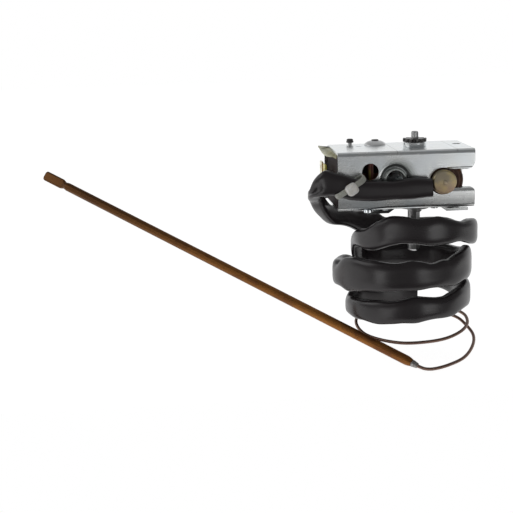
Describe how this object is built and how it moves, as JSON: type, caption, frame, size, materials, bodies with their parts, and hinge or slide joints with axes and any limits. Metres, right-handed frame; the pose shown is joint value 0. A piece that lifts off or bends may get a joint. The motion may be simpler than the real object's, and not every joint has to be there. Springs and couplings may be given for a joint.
{
  "type": "oven thermostat",
  "caption": "Capillary oven thermostat: pressed steel casing, D spindle with cam, slot-in pressure capsule, snap contacts, coiled sleeved capillary and slim copper sensing bulb.",
  "frame": {"origin": "on the spindle axis at the mounting face, midway between the two tapped fixing holes", "axes": "+Z away from the panel along the spindle axis (the spindle points to -Z), +X along the casing towards the capsule end, -Y to the side where the capsule head shows"},
  "size_m": [0.1971, 0.1363, 0.0977],
  "materials": {
    "zinc_steel": "bright zinc plate",
    "dull_steel": "satin",
    "dark_metal": "blackened, satin",
    "phenolic": "moulded, satin",
    "card": "waxed card",
    "brass": "turned",
    "bronze": "heat-browned",
    "silver": "contact silver",
    "copper": "drawn copper, browned",
    "black_sleeve": "soft satin",
    "nylon": "translucent natural"
  },
  "bodies": {
    "casing": {"casing": "zinc_steel", "rear_cover": "zinc_steel", "cover_screws": "zinc_steel", "mount_bracket": "zinc_steel", "bracket_rivets": "zinc_steel", "spindle_bush": "dull_steel", "top_collar": "zinc_steel", "top_boss": "zinc_steel", "boss_rivet": "dark_metal", "top_stud": "dark_metal", "block_screws": "zinc_steel", "switch_block": "phenolic", "insulating_card": "card", "terminal_a": "brass", "terminal_b": "brass", "contact_pillar": "brass", "fixed_contact": "silver", "pivot_post": "brass", "contact_leaf": "dull_steel", "lever_pin": "dull_steel", "lever_spacers": "dull_steel", "capsule_head": "brass", "capsule_shell": "bronze", "range_spring": "dull_steel", "guide_pins": "dull_steel", "stop_peg": "dull_steel", "insulating_sleeve": "black_sleeve", "capillary": "copper", "bulb": "copper", "braze_bead": "dull_steel", "tie_strap": "nylon", "tie_head": "nylon"},
    "spindle": {"spindle": "dull_steel", "cam": "brass", "stop_arm": "zinc_steel", "star_ring": "dark_metal"},
    "setting_slide": {"setting_slide": "zinc_steel"},
    "push_button": {"push_button": "dull_steel"},
    "lever": {"lever": "zinc_steel", "lever_tip": "phenolic"},
    "contact_arm": {"contact_arm": "brass", "moving_contact": "silver"}
  },
  "joints": [
    {"name": "spindle_turn", "type": "hinge", "parent": "casing", "child": "spindle", "pos_m": [0, 0, 0], "axis": [0, 0, 1], "range_deg": [0, 270]},
    {"name": "slide_travel", "type": "slide", "parent": "casing", "child": "setting_slide", "axis": [0, -1, 0], "range_m": [0, 0.0022], "deforming": ["range_spring"]},
    {"name": "button_travel", "type": "slide", "parent": "casing", "child": "push_button", "axis": [0, 1, 0], "range_m": [0, 0.00045], "stiffness_N_per_m": 400},
    {"name": "lever_turn", "type": "hinge", "parent": "casing", "child": "lever", "pos_m": [0.0168, -0.0079, 0.0145], "axis": [0, 0, -1], "range_deg": [0, 3.2], "deforming": ["range_spring"]},
    {"name": "contact_turn", "type": "hinge", "parent": "casing", "child": "contact_arm", "pos_m": [-0.0302, -0.006, 0.015], "axis": [0, 0, 1], "range_deg": [0, 7.6], "deforming": ["contact_leaf"]}
  ],
  "couplings": [
    {"joint": "slide_travel", "follows": "spindle_turn", "m_per_rad": 0.00046686},
    {"joint": "lever_turn", "follows": "button_travel", "rad_per_m": 123.46},
    {"joint": "contact_turn", "follows": "button_travel", "rad_per_m": 291}
  ]
}
